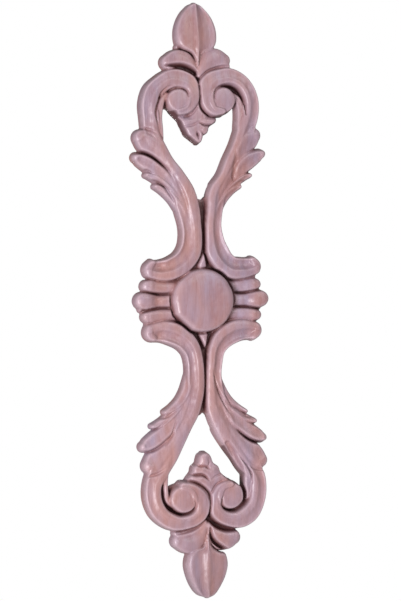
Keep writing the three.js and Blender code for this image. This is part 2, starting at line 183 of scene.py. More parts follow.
# What differs from quarter to quarter, as the hand made it, in mm. Outline and hook go round the
# volute's eye as angle and radius, the hook with its half width too. Inner and outer are heights
# on the arm and how much wider it is there. Stem and reach shift the arm, stem with a change of
# half width too. Foot is x, z and the rise of its lip; strip is x, half width and the slant to
# its lower end. Lobes and sepal are shifts of their tips. Cuts and ends give the depth of the
# cuts above the lobes and the x where they run out. Open leaves a gap between sepal and volute.
quarters = [
    {
        "side": -1, "up": 1, "eye": (13.7, 134), "disc": 8.3, "reach": 0, "open": True,
        "stem": (-0.6, 0.9), "foot": (-2.2, 0.2, 0), "sepal": (0.9, -1), "strip": (-0.5, 0.7, 1.5),
        "outline": [(-71, 24.4), (-48, 22.2), (-24, 21.7), (0, 21), (46, 18.6), (74, 14.7),
                    (105, 14), (137, 11.8), (180, 10.9)],
        "hook": [(-145, 23.9, 0.4), (-124, 19.2, 0.9), (-108, 16, 1.1), (-88, 12, 1.4),
                 (-57, 8.9, 0.9), (-30, 8.2, 0.8), (4, 7.8, 0.8), (30, 7.7, 0.8), (52, 7.3, 0.7),
                 (72, 6.6, 0.4)],
        "inner": [(26, 1.5), (33, 2.3), (41, 1.6), (50, 0.6), (60, 0.6), (70, 1.3), (75, 1.8),
                  (80.5, 1.4), (86, 0.6), (92, 0), (102, -0.8), (110, -1.9), (124, -1.4)],
        "outer": [(20, -0.8), (26, -1.6), (33, -1.9), (41, -1.6), (50, -0.2), (60, 2), (66, 2.8),
                  (75, 1), (82, 0)],
        "lobes": [(2.2, -0.6), (1.4, 0.4), (1.4, 1.2), (2.8, 1.4)],
        "cuts": (1.2, 1.9, 1.1, 1.3), "ends": (29, 18.5, 29, 16),
    },
    {
        "side": 1, "up": 1, "eye": (15.8, 134), "disc": 9.4, "reach": 0.4, "open": False,
        "stem": (1.4, -1), "foot": (-0.6, 1.2, 0), "sepal": (-0.6, 0), "strip": (0.7, 1, 0),
        "outline": [(-71, 24.8), (-48, 24), (-24, 23), (0, 21.2), (50, 20.2), (74, 15.6),
                    (105, 15.2), (137, 13.8), (180, 11)],
        "hook": [(-122, 19.4, 0.4), (-104, 16.4, 0.9), (-92, 15.2, 1.2), (-79, 14.2, 1.5),
                 (-62, 13.2, 1.9), (-46, 12, 2.1), (-30, 10.8, 2.1), (-8, 9.4, 1.5), (20, 8.2, 1),
                 (45, 7, 0.9), (70, 5.4, 0.7), (88, 4.6, 0.4)],
        "inner": [(26, 0.5), (33, 2), (41, 1.6), (50, 0.8), (60, 0), (70, 1.5), (75, 0),
                  (80.5, -1.4), (86, -0.5), (92, 0), (102, 0), (110, 0.4), (124, -0.6)],
        "outer": [(26, 0.8), (33, 1.8), (41, 0.8), (50, 0.4), (60, 1.2), (70, 0.2), (80, -0.8),
                  (90, 0)],
        "lobes": [(0.8, 0.2), (1.9, 2.2), (0.6, 0.4), (0.4, 0.6)],
        "cuts": (0.3, 0.8, 0.6, 1), "ends": (33, 33.5, 31, 27),
    },
    {
        "side": -1, "up": -1, "eye": (16, 132.4), "disc": 9.4, "reach": 0.6, "open": False,
        "stem": (-1.5, 0.1), "foot": (-1.8, -0.2, -1), "sepal": (0.2, 0), "strip": (-0.6, 0.2, 0),
        "outline": [(-71, 25), (-48, 23.4), (-24, 22.2), (0, 20.6), (59, 20), (81, 18),
                    (109, 15.4), (150, 12.6), (180, 12.4)],
        "hook": [(-90, 12.2, 2), (-69, 11.2, 2), (-32, 10.2, 1.8), (-5, 10.2, 1.4),
                 (31, 10.2, 1.1), (59, 9.1, 1), (80, 7.4, 0.8), (98, 6, 0.4)],
        "inner": [(30, 0.6), (45, 0.2), (56, 0.6), (64, 1), (70, 1.6), (74, 2.4), (80, 2.6),
                  (85, 2.8), (90, 3.8), (96, 4.4), (101, 4.4), (106, 3), (112, 1.9), (118, 0.6),
                  (124, 0)],
        "outer": [(20, -0.6), (26, -1.6), (33, -2.4), (40, -1.9), (48, -0.7), (60, -1), (66, -1),
                  (72, 0)],
        "lobes": [(0.6, -0.4), (0.6, 1.2), (0.8, 0.2), (-0.6, -1.2)],
        "cuts": (0.8, 0.7, 0.8, 0.9), "ends": (28, 22, 24, 22),
    },
    {
        "side": 1, "up": -1, "eye": (16.1, 130.8), "disc": 9.4, "reach": -0.2, "open": True,
        "stem": (-0.3, -1.3), "foot": (-1, -0.4, -0.2), "sepal": (-0.4, -1.4), "strip": (0.6, 1.6, 0),
        "outline": [(-71, 24.8), (-48, 24.8), (-24, 24), (0, 21.4), (49, 18.6), (72, 14.8),
                    (99, 13.8), (140, 11.8), (180, 10.9)],
        "hook": [(-60, 11.8, 0.8), (-33, 11, 1.1), (-12, 10.6, 1.3), (15, 9.8, 1.2), (42, 8.8, 1.1),
                 (67, 6.9, 0.9), (88, 5.6, 0.4)],
        "inner": [(33, 0.6), (45, 0.8), (56, 1.4), (64, 2.8), (70, 5), (75, 6.2), (80, 7.2),
                  (85, 7.2), (90, 7), (96, 6.8), (101, 5.6), (106, 4.7), (112, 3.6), (118, 4),
                  (124, 3)],
        "outer": [(26, -0.4), (33, -1), (40, 0), (60, 0.6), (70, 0)],
        "lobes": [(0.8, -2), (-1.2, -2.8), (0.4, -1.6), (1.4, -0.4)],
        "cuts": (0.5, 1.6, 0.6, 0.5), "ends": (24, 21, 27, 24),
    },
]

# The leaf's lobes, the highest on the arm first: x, z, half width, crest
lobeRows = [
    [[16, 80, 4, 10], [23, 90, 5.6, 11.2], [29.5, 99.5, 6.4, 11.8], [34.2, 106.2, 6.4, 11.7],
     [36.8, 109.8, 5.7, 11.4]],
    [[12, 62, 3.6, 9.6], [18.5, 76, 4.8, 11], [26, 85.4, 5.4, 11.3], [33.2, 91, 5.6, 11.2],
     [38.6, 94.4, 4.8, 10.8], [40.8, 95.6, 3.8, 10.5]],
    [[15.5, 67, 2.8, 9.4], [20.6, 73.6, 2.9, 10.6], [26.6, 79, 2.8, 10.4], [31.4, 81.8, 2.4, 10],
     [34.6, 83, 2, 9.5]],
    [[9.5, 50, 3, 8.8], [12.6, 60, 3.2, 10.2], [16.8, 67.2, 3, 10.4], [22, 72.2, 2.6, 10.1],
     [27.4, 75.2, 1.9, 9.6]],
]
# The cuts that free the lobes, each above its lobe: x, z, half width, depth
cutRows = [
    [[44, 116.6, 1.3, 2.4], [38, 116.4, 1.4, 2.6], [31.6, 114.4, 1.4, 2], [27, 109.5, 1.2, 1],
     [22.6, 101, 1, 0]],
    [[46, 98.6, 1.5, 5], [39, 99.2, 1.7, 5.2], [32, 96.6, 1.8, 4.4], [25.4, 91.2, 1.6, 3],
     [20.2, 84.8, 1.2, 1.4], [15.6, 74, 0.9, 0]],
    [[39.4, 86.2, 1.1, 3], [34.8, 86.2, 1.3, 3], [29.4, 82.6, 1.3, 2.4], [23.2, 77, 1.1, 1.4],
     [17.6, 68, 0.9, 0]],
    [[33.6, 79.2, 1, 2.8], [28.4, 79, 1.3, 3.2], [23.6, 76.4, 1.4, 2.8], [19.6, 71.4, 1.3, 2],
     [16.4, 64, 1.1, 1.2], [13.6, 55, 0.9, 0]],
]


def placed(rows, q, shift=(0, 0)):
    # rows of one quarter in their place, a shift growing to the full towards the last row
    last = max(len(rows) - 1, 1)
    result = []
    for k, (x, z, *rest) in enumerate(rows):
        grown = min(k / last * 1.4, 1)
        result.append([(x + shift[0] * grown) * q["side"], (z + shift[1] * grown) * q["up"], *rest])
    return result


def roundEye(q, degrees, radius, *rest):
    # a point round the volute's eye, the angle from straight up, turning to the centre line
    a = math.radians(degrees)
    return [q["eye"][0] - math.sin(a) * radius, q["eye"][1] + math.cos(a) * radius, *rest]


def armRows(q):
    # x, z, half width, crest, depth of the flute, fall to the outside
    ex, ez = q["eye"]
    rise, reach = ez - 132.5, q["reach"]
    fx, fz, _ = q["foot"]
    rows = [
        [35.8 + fx, 20.9 + fz, 6.4, 11, 1.4, 0],
        [28.6 + fx * 0.7, 20.4 + fz * 0.7, 7.4, 11.5, 2.1, 0],
        [21.2 + fx * 0.3, 21.7, 7.9, 12, 2.4, 0],
    ]
    stem = [  # x, z, half width, part of the quarter's own shift, flute, fall
        (14.6, 26, 7.8, 0.35, 2, 0), (10.3, 32.8, 7.3, 0.7, 2.1, 0), (8.4, 41, 6.7, 1, 2, 0),
        (7.6, 50, 6.4, 1, 1.8, 0.3), (8.2, 60, 6.4, 0.9, 1.4, 1.2), (11.4, 71.3, 6.7, 0.5, 1, 2.2),
        (17.4, 82, 6.8, 0.2, 0.8, 2.8), (23, 91.6, 6.6, 0, 0.8, 2.8),
        (28, 101.4 + rise * 0.5, 6.6, 0, 1, 2.2), (31.8, 111.2 + rise * 0.8, 6.4, 0, 1.3, 0.8),
    ]
    dx, dh = q["stem"]
    for x, z, half, part, flute, fall in stem:
        inner, outer = (float(np.interp(z, *zip(*q[edge]))) * 0.86 for edge in ("inner", "outer"))
        shift = (outer - inner) / 2
        lean = 0.5 if z > 65 else 0
        push = 0 if z < 95 else reach * 0.4
        rows.append([x + dx * part + push + shift * (1 - 0.26 * lean), z - shift * lean,
                     half + dh * part + (inner + outer) / 2, 12, flute, fall])
    rows.append([ex + 19.4 + reach * 0.7, 121.0 + rise, 6.1, 12.3, 1.3, 0.2])
    rows.append([ex + 20.0 + reach, ez - 2.3, 6, 12.5, 1.2, 0])
    # round the eye, between the outline and the hook's groove
    outside = curve(q["outline"], 2)
    inside = curve([(d, r) for d, r, _ in q["hook"]], 2)
    leastRadius = {-71: 12.9, -48: 11.6, -24: 10.3}
    flutes = {-71: 1, -48: 0.8, -24: 0.7, 0: 0.7, 30: 0.6, 57: 0.4, 90: 0.2, 135: 0, 180: 0}
    for degrees, flute in flutes.items():
        far = np.interp(degrees, outside[:, 0], outside[:, 1])
        near = np.interp(degrees, inside[:, 0], inside[:, 1]) if degrees < 90 else 5.4
        near = max(near, leastRadius.get(degrees, near))
        crest = 12.6 + min(max(degrees, 0), 90) / 250
        rows.append(roundEye(q, degrees, (far + near) / 2, (far - near) / 2, crest, flute, 0))
    return rows


def carveGround(q):
    ex, ez = q["eye"]
    for rows in [
        [[0, 17, 9, ground], [0, 26, 7, ground], [0, 40, 5, ground], [q["stem"][0] * 0.5, 63, 5, ground]],
        [[ex + 2, ez + 1.4, 6, ground], [ex + 9, ez + 3.4, 6.4, ground], [ex + 15, ez + 4, 5.4, ground]],
        [[ex + 13.2, ez + 4, 3.4, ground], [ex + 13.6 + q["strip"][0], ez - 12, 3.2, ground]],
        [roundEye(q, -62, 13, 4.4, ground), roundEye(q, 20, 10, 3, ground)],
        [[-1, ez + 21, 4, ground], [ex - 9, ez + 20.4, 4.8, ground], [ex, ez + 19, 4.6, ground]],
        [[0, ez - 14, 6.5, ground], [0, ez, 10, ground], [0, ez + 17, 8, ground], [0, ez + 32, 8, ground]],
        [[17, 0, 14, 6], [27, 0, 12.6, 6], [30.5, 0, 8.5, 6]],
    ]:
        strand(placed(rows, q), flat, 0.3)


def carveLobes(q, cross):
    # the fan's side lobe, then the leaf's lobes from the lowest to the highest
    fanLobe = [[20, 9, 4.4, 8.6], [26, 9.2, 4.5, 8.9], [31.6, 9.6, 4.6, 9.8], [35.2, 10, 4.8, 10.6],
               [37.2, 10.2, 4.3, 10.4]]
    strand(placed(fanLobe, q), cross(petalCross), 0.4, petalCross)
    for rows, shift in zip(lobeRows[::-1], q["lobes"][::-1]):
        strand(placed(rows, q, shift), cross(leafCross), 1.2, petalCross)


def carveArm(q, outwards):
    path = curve(placed(armRows(q), q))
    window, away, there, _ = nearest(path, path[:, 2].max() + 3)
    half, crest = np.maximum(there[..., 2], 0.2), there[..., 3]
    flute, fall = np.clip(there[..., 4], 0, 3), np.clip(there[..., 5], 0, 4)
    u = np.clip(away / half, -1, 1) * outwards
    drop = edgeCross(u) + flute * valleyCross(u) + fall * fallCross(u)
    surface = crest - drop - wallFall(away, half, crest)
    height[window] = smoothMax(height[window], surface, carving["armBlend"])


def carveVolute(q):
    ex, ez = q["eye"]
    if q["disc"] < 9:  # the arm slopes down to the smaller disc
        slope = [roundEye(q, -74, 12, 2.2, 9.4), roundEye(q, -48, 11.2, 2.6, 10.4),
                 roundEye(q, -16, 9.8, 2.2, 11.4)]
        strand(placed(slope, q), softRoll, 2)
    strand(placed([[ex, ez, q["disc"], 13.1], [ex + 0.3, ez - 0.3, q["disc"], 13.1]], q), discCross, 3.6)
    # the hook's groove, deepest on the outer side of the disc
    turns = [-145, -122, -104, -84, -60, -30, 0, 30, 60, 100]
    depths = [1.5, 3, 5, 6.4, 6.4, 5.4, 3.6, 2.8, 2, 0]
    hook = [roundEye(q, d, r, w, float(np.interp(d, turns, depths))) for d, r, w in q["hook"]]
    groove(placed(hook, q), 0.8)


def carveCuts(q, lean):
    # the cuts that free the lobes and run on as lines along the arm
    for rows, deep, end, shift in zip(cutRows, q["cuts"], q["ends"], q["lobes"]):
        rows = [[x, z, w, d * deep * min(max((x - end) / 3.5, 0), 1)] for x, z, w, d in rows[::-1]]
        groove(placed(rows, q, shift), 1.2, -0.3 * lean)


def carveStrip(q):
    # the thin strip along the heart
    ex, ez = q["eye"]
    shift, wider, lower = q["strip"]
    strand(placed([
        [ex + 7.4, ez + 4, 1.6, 8.8],
        [ex + 11.0 + shift * 0.5, ez + 0.4, 1.9 + wider * 0.7, 9.4],
        [ex + 12.2 + shift + lower * 0.5, ez - 5.4, 1.9 + wider, 10.2],
        [ex + 12.3 + shift + lower, ez - 12, 1.9 + wider, 10.6],
        [ex + 11.6 + shift + lower, ez - 19, 1.7 + wider, 10.9],
        [ex + 10.2 + shift + lower, ez - 26, 1.0 + wider * 0.4, 10],
    ], q), edgeCross, 0.8)


def carveFoot(q):
    # the lip that ends the scoop, and the scoop's hollow
    fx, fz, lip = q["foot"]
    rim = [[36.0 + fx, 25.4 + fz + lip, 3, 10.6], [38.4 + fx, 22.4 + fz, 3.2, 11],
           [38.6 + fx, 18.4 + fz, 3, 10.4]]
    strand(placed(rim, q), softRoll, 3)
    mound(placed([[31.0 + fx, 27.0 + fz, 4.6, -0.8], [31.4 + fx, 22 + fz, 5, -0.9]], q))


def carveSepal(q, cross):
    sepal = [[0.6, 150, 2, 9.8], [4, 156.8, 4.4, 10.8], [8.8, 162, 6, 11.3],
             [13.6, 162.7, 6.2, 11.4], [18.6, 160.4, 5.4, 10.8]]
    strand(placed(sepal, q, q["sepal"]), cross(petalCross), 0.6, petalCross)
    if not q["open"]:  # a filling between sepal and volute
        filling = [(42, 21.6, 2.6, 9.4), (20, 23.4, 3.4, 10.2), (0, 24, 3.2, 10.2), (-14, 23.4, 1.8, 9.8)]
        strand(placed([roundEye(q, *row) for row in filling], q), softRoll, 1.8)
        line = [(46, 20.4, 0.7, 2.4), (24, 21.3, 0.8, 2.8), (2, 22.2, 0.8, 2.4), (-14, 23.4, 0.7, 1.2)]
        groove(placed([roundEye(q, *row) for row in line], q), 0.9)
        return
    # a deep gap on both sides of the sepal
    gap = [[14.8, 168.9, 1.1, 2], [9.6, 168.6, 1.7, 8], [4.4, 166.8, 2, 8.4],
           [0.9, 163.4, 1.7, 7.4], [-1.2, 158.6, 1.2, 3], [-1.6, 155, 0.8, 0]]
    if q["up"] < 0:
        filling = [(36, 24.6, 3.2, 10.2), (14, 26.6, 4.6, 11.2), (-3, 27.2, 4.3, 11), (-6, 27.2, 4.2, 10.6)]
        strand(placed([roundEye(q, *row) for row in filling], q), petalCross, 2.4)
        gap = [[15, 168, 0.8, 1.6], [12, 166.6, 1.3, 7], [8, 164.2, 1.6, 8.4],
               [4.6, 161.2, 1.6, 8], [2.6, 157.4, 1.2, 5.6], [2.1, 152, 0.9, 2]]
    groove(placed(gap, q), 0.5)
    below = [(48, 20.6, 1.2, 6), (28, 21.8, 2.1, 7.4), (8, 22.8, 1.9, 7), (-14, 23.8, 1, 4),
             (-24, 24.4, 0.8, 1)]
    groove(placed([roundEye(q, *row) for row in below], q), 0.5)


def carveQuarter(q):
    turned = q["side"] * q["up"] > 0
    lean = 1 if turned else -1
    cross = (lambda f: f) if turned else mirrored
    carveGround(q)
    carveLobes(q, cross)
    carveArm(q, -lean)
    carveVolute(q)
    carveCuts(q, lean)
    carveStrip(q)
    carveFoot(q)
    carveSepal(q, cross)


def tongue(rows, cross, blend):
    # rows of left edge, z, right edge, crest, from the tip to the root
    path = curve(rows, 0.5)
    path = path[np.argsort(path[:, 1])]
    left, right, crest = (np.interp(gridZ, path[:, 1], path[:, k]) for k in (0, 2, 3))
    middle, half = (left + right) / 2, np.maximum((right - left) / 2, 0.3)
    beyond = np.maximum(np.maximum(path[0, 1] - gridZ, gridZ - path[-1, 1]), 0)
    drop = cross(np.clip((gridX - middle) / half, -1, 1))
    height[:] = smoothMax(height, crest - drop - wallFall(gridX - middle, half, crest, beyond), blend)


# The pendants in the hearts: left edge, z, right edge and crest from the tip to the root, the
# knife's lines across them as x, z, half width, depth, and the soft swellings between those.
pendants = {
    1: {
        "body": [[-1.9, 105.2, 1, 9.7], [-3, 105.8, 2, 9.9], [-4.5, 107, 2.6, 10.1],
                 [-6.4, 108.5, 3.1, 10.4], [-8.3, 110, 3.6, 10.7], [-9.2, 111.4, 6, 10.8],
                 [-9.9, 113, 6.9, 10.9], [-10.9, 115.2, 7.5, 11], [-11.8, 117, 9.5, 11],
                 [-12.5, 118.7, 12.1, 11.1], [-13.4, 120.4, 12.9, 11], [-16.2, 123, 13.2, 9],
                 [-19.4, 126.2, 13.4, 7]],
        "root": [[-1, 119, 7, 11], [0, 124, 6.5, 11.2], [0.4, 130, 5.5, 10.8]],
        "lines": [
            [[-11, 116, 0.6, 0.5], [-4.8, 117.2, 1.1, 1.1], [-0.7, 119, 0.9, 1],
             [1.1, 118.3, 0.8, 1.8], [3.4, 117.2, 0.9, 3], [9.8, 116.6, 0.9, 3.6]],
            [[6, 110.2, 0.7, 2.4], [3.3, 110.5, 0.8, 2.2], [2.2, 111.8, 0.7, 1.3],
             [1, 113.6, 0.6, 0.3]],
            [[-1.4, 112.4, 0.8, 1.4], [-1, 110.7, 1.3, 3.6], [-0.6, 109, 0.8, 2],
             [0, 106.8, 0.5, 0.4]],
        ],
        "swellings": [
            [[-7.4, 114.4, 3, 0.5], [-5, 111.6, 2.6, 0.4]],
            [[3, 114.4, 3, 0.7], [5.2, 113.6, 2.4, 0.5]],
            [[4, 120.6, 3, 0.5], [9, 119.6, 2.6, 0.7]],
            [[-7.6, 119.6, 2.4, 0.3], [-2, 121.6, 2.8, 0.3]],
        ],
    },
    -1: {
        "body": [[-2.4, -101.8, 1.6, 9.8], [-3.8, -102.4, 2.9, 10.3], [-4.6, -103.4, 3.7, 10.5],
                 [-5.1, -104.8, 4.4, 10.7], [-5.5, -106.3, 4.9, 10.8], [-6, -108.3, 5.7, 10.8],
                 [-7.2, -109.5, 7.2, 10.8], [-8.8, -110.8, 9.1, 10.8], [-9.4, -112.6, 9.9, 10.9],
                 [-9.7, -114.4, 10.4, 11], [-10.9, -116, 11.7, 11], [-12.3, -117.7, 13.6, 11],
                 [-13.4, -119.5, 16, 11], [-13.8, -122, 17, 10.4], [-12, -126, 14, 9.6]],
        "root": [[0.4, -118, 9, 11], [1, -124, 7, 11.2], [1.6, -130, 4.5, 10.8]],
        "lines": [
            [[-8, -108.4, 0.8, 2.8], [-4.4, -110.4, 0.9, 2.6], [-1, -110.5, 0.9, 2.4],
             [0.9, -111.7, 0.8, 2.6], [2.4, -112.6, 0.5, 0.3]],
            [[1.1, -105.2, 0.5, 0.2], [1.9, -109, 0.8, 0.9], [0.9, -111.6, 0.6, 0.8]],
            [[-12.2, -115.2, 0.9, 3.6], [-7.9, -116.3, 1.1, 4], [-3.2, -116.3, 1.2, 4.6],
             [-0.6, -117.7, 1.1, 4.6], [0.9, -119.2, 0.8, 2.2], [2.6, -120.6, 0.5, 0.3]],
            [[10.4, -116, 0.7, 1.2], [6.4, -117.4, 0.9, 0.9], [3.4, -119.6, 0.7, 0.3]],
        ],
        "swellings": [
            [[-1, -103.6, 3.6, 0.5], [-0.8, -107.4, 4, 0.8]],
            [[-7.4, -113.2, 2.6, 0.6], [-3, -113.4, 2.6, 0.6]],
            [[-9.6, -118.8, 2.2, 0.5], [-4.4, -119.2, 2.4, 0.6]],
            [[4.6, -113.6, 3.6, 0.6], [6.2, -114.8, 3, 0.4]],
        ],
    },
}

# The buds: x, z away from the boss, half width, crest
budRoot = [[0, 156.6, 1.2, 11.2], [0, 161, 2, 11.9], [0, 165.3, 4.4, 12.2]]
buds = {
    1: {
        "cross": budCross,
        "body": [[0, 168.4, 11, 12.4], [0, 171.4, 13.7, 12.4], [-0.2, 176.6, 14.5, 12.4],
                 [-0.5, 182.2, 14, 12.1], [-0.7, 187.6, 12.2, 11.6], [-0.8, 192, 9.7, 11.1],
                 [-0.8, 195.6, 6.6, 10.6], [-0.8, 197.9, 4, 10.2], [-0.8, 199.3, 0.6, 9.9]],
    },
    -1: {
        "cross": lowBudCross,
        "body": [[-0.3, 168.2, 12, 12.4], [-0.3, 171.4, 14.1, 12.4], [-0.3, 176.6, 14.9, 12.4],
                 [-0.4, 182.2, 14, 12.1], [-0.5, 187.6, 12.1, 11.6], [-0.4, 192, 9.8, 11.1],
                 [-0.2, 195.4, 7.4, 10.6], [-0.1, 197.7, 4.8, 10.2], [-0.1, 199.2, 0.6, 9.9]],
    },
}


def carveCentreLine(up):
    wedge = [[0.6, 23.4 * up, 3.4, 9.6], [1, 27.5 * up, 2, 10], [1.5, 31.6 * up, 0.5, 9.4]]
    strand(wedge, roll, 0.4)  # in the fork of the arms
    pendant, bud = pendants[up], buds[up]
    tongue(pendant["body"], edgeCross, 0.8)
    strand(pendant["root"], roll, 1.2)
    for rows in pendant["swellings"]:
        mound(rows)
    for rows in pendant["lines"]:
        groove(rows, 0.8)
    body = [[x, z * up, half, crest] for x, z, half, crest in budRoot + bud["body"]]
    strand(body, bud["cross"], 0.5)


# The boss: profile as share of the radius and height, the flats that the knife left on its rim
# as angle and reach, and the width of the cut round it at each angle.
boss = {
    "radius": 20.8,
    "profile": [(0, carving["topLimit"]), (0.3, 15.94), (0.6, 15.75), (0.8, 15.35), (0.88, 14.95),
                (0.94, 14.3), (0.975, 13.4), (1, 12.2)],
    "flats": [(-133, 19.4), (-168, 20.4), (128, 20.2), (95, 20.9), (28, 20.6), (-30, 20.6), (-75, 20.8)],
    "cut": [(0, 1.7), (30, 2.1), (60, 2.4), (85, 1.5), (105, 0.5), (150, 0.5), (170, 1.5), (190, 1.7),
            (225, 2.6), (262, 2.2), (285, 0.8), (315, 0.5), (345, 1.3), (360, 1.7)],
    "reach": 24,
}


def carveBoss():
    profile = curve(boss["profile"], 0.01)
    radius, angle = np.hypot(gridX, gridZ), np.arctan2(gridZ, gridX)
    rim = np.full(radius.shape, boss["radius"])
    for degrees, reach in boss["flats"]:
        rim = np.minimum(rim, reach / np.maximum(np.cos(angle - math.radians(degrees)), 0.2))
    top = np.interp(radius / rim, profile[:, 0], profile[:, 1])
    top = top - np.maximum(radius - rim, 0) * carving["wallSlope"]
    cut = np.interp(np.degrees(angle) % 360, *zip(*boss["cut"]))
    floor = np.interp(cut, [0.5, 1.5], [9.6, 4.8])  # a wide cut is a deep one
    moat = (radius > rim) & (radius < rim + cut + 0.3)
    farSide = np.maximum(radius - rim - cut + 0.6, 0) * 6
    height[moat] = np.minimum(height[moat], (floor + farSide)[moat])
    inReach = radius < boss["reach"]
    height[inReach] = np.maximum(height, np.maximum(top, ground))[inReach]


def blurred(values, reach):
    rows, cols = values.shape
    fr = np.fft.fftfreq(rows, carving["gridStep"])[:, None]
    fc = np.fft.rfftfreq(cols, carving["gridStep"])[None]
    return np.fft.irfft2(np.fft.rfft2(values) * np.exp(-2 * (math.pi * reach) ** 2 * (fr**2 + fc**2)),
                         s=values.shape)


# Ground between the fan's lobes, and under the volutes' strips
groundPatches = [
    [[28, 15.2, 2.4, 6.6], [36, 15.8, 2.2, 6.6]],
    [[30, 5, 2.2, 6.6], [39.8, 5.6, 2, 6.6]],
    [[30, -5, 2.2, 6.6], [39.4, -5.2, 2.2, 6.6]],
    [[-30, -5, 2.2, 6.6], [-41, -5.2, 2.2, 6.6]],
    [[-30, -15.2, 2.2, 6.6], [-36.6, -15.4, 2.2, 6.6]],
    [[-22.5, -125.5, 2.4, ground], [-16.5, -123.5, 2.4, ground]],
    [[-25.5, 130.5, 2, ground], [-21.5, 130.5, 2, ground]],
]
# Ground beside the upper bud and in the two forks
lateGround = [
    [[-12.8, 169.4, 1.8, 6], [-10.6, 171.2, 1.7, 6]],
    [[3.6, 64.5, 2.6, ground], [5.6, 69, 1.9, ground], [7.4, 73, 1.2, ground]],
    [[0.9, -58, 4.6, ground], [0.3, -72, 5.6, ground]],
]
# Knife lines: where the volutes meet and under their discs, then along the lower leaves
knifeLines = [
    [[-0.3, 148.6, 0.6, 3], [0.4, 143, 0.7, 4.6], [0.9, 136, 0.7, 5], [1.1, 130.4, 0.9, 5.4],
     [3.2, 126.4, 1.2, 4.6], [7.4, 123.4, 1.1, 3.4], [12.6, 122.2, 0.8, 1.6]],
    [[-1.2, 129.4, 0.7, 1], [-4.6, 124.6, 0.8, 1.6], [-9.6, 122.4, 0.8, 1.2]],
    [[2, -147.6, 0.7, 4], [1.9, -141, 0.7, 4.6], [2.3, -134.4, 0.8, 5], [1.4, -128.6, 1.1, 4.6],
     [-3.4, -123.6, 1.2, 4.4], [-9.4, -120.6, 1.1, 3.6], [-14.6, -119.4, 0.8, 1.6]],
    [[3.2, -128.4, 0.7, 2], [6.2, -123.6, 0.8, 1.8], [10.8, -120.8, 0.7, 1]],
    [[6, -46, 0.5, 0.2], [6.8, -52, 0.8, 1.2], [9, -60, 0.9, 2], [13.3, -69.6, 0.9, 1.6],
     [17, -75.5, 0.6, 0.3]],
    [[13.4, -62, 0.5, 0.3], [17.8, -69.2, 1, 1.8], [23.3, -73.2, 1.2, 2.6], [28.6, -76.3, 1.2, 2.8]],
    [[20.8, -101.5, 0.5, 0.3], [24, -106.2, 0.8, 1.6], [28, -111.3, 0.9, 2.2],
     [30.7, -117, 0.9, 2.4], [31, -123, 0.6, 0.6]],
    [[22.6, -117.4, 0.9, 3], [24.6, -123.4, 1.5, 6.4], [26.4, -130, 1.6, 7],
     [25.8, -135.4, 1.3, 5.6], [23.2, -139.2, 0.8, 2]],
    [[-19.6, -79.5, 0.6, 0.3], [-21.8, -85.5, 0.9, 1.4], [-24, -91.1, 0.9, 1.6],
     [-27.6, -95.8, 0.7, 0.8]],
]
# Soft hollows below the upper leaves, and in the lower right arm
softHollows = [
    [[-9.4, 60.5, 1.2, -0.2], [-11, 67, 1.9, -0.7], [-13, 72.5, 2.1, -0.9],
     [-15.4, 77.4, 1.9, -0.7], [-17.4, 80.6, 1.2, -0.1]],
    [[24.2, 100.5, 1.4, -0.2], [24.6, 95.5, 2.3, -0.8], [24.4, 91.3, 2.8, -1.3],
     [23.6, 87, 2.8, -1.6], [22.8, 83.5, 2.4, -1.5], [23.2, 80.4, 1.6, -0.7]],
    [[14.6, -96, 2.6, -2], [17.6, -101, 3.2, -3.6], [20.2, -106.5, 3.2, -3.6],
     [23, -112, 2.8, -3], [24.8, -118, 2.2, -2]],
]


def carveFan(side, tip):
    # the middle lobe at one side of the boss, with a cut above and below it
    lobe = [[22, 0, 4.6, 9.2], [28, 0, 4.2, 9.1], [33, 0.1, 4.9, 10], [37.6, 0.3, 6, 11.2],
            [tip, 0.5, 5.9, 11.3]]
    strand([[x * side, *rest] for x, *rest in lobe], petalCross, 0.4)
    mound([[31.0 * side, -2.4, 4.4, -0.9], [31.0 * side, 2.6, 4.4, -0.9]])
    for z in (-4.9, 4.9):
        cut = [[22.5, z, 0.8, 1.6], [29, z * 0.98, 1, 3.2], [36, z * 1.2, 1.1, 4.2],
               [43, z * 1.5, 1.3, 4.4]]
        groove([[x * side, *rest] for x, *rest in cut], 1)


def openFork(x, z, up):
    # the knife's gap, where a heart runs out between the arms
    aside = np.abs(gridX - x)
    notch = (aside < 5) & (gridZ * up > z + aside * 0.9) & (gridZ * up < z + 14) & (height < 6)
    height[notch] = carving["cutThrough"]


for quarter in quarters:
    carveQuarter(quarter)
for rows in groundPatches:
    strand(rows, flat, 0.3)
carveFan(-1, 40.3)
carveFan(1, 40.7)
carveCentreLine(-1)
carveCentreLine(1)
for rows in knifeLines:
    groove(rows, 0.7)
for rows in softHollows:
    mound(rows)
for rows in lateGround:
    strand(rows, flat, 0.3)
openFork(1.9, 67.6, 1)
openFork(0.2, 75.2, -1)
carveBoss()
randomness = np.random.default_rng(carving["seed"])
waves = blurred(randomness.standard_normal(height.shape), carving["waveLength"])
marks = blurred(randomness.standard_normal(height.shape), carving["markLength"])
height += waves / waves.std() * carving["handUnevenness"] + marks / marks.std() * carving["gougeMarks"]
height[:] = np.clip(height, None, carving["topLimit"])
print("carved:", round(float((height > 0).sum() * carving["gridStep"] ** 2)), "mm2 of wood")


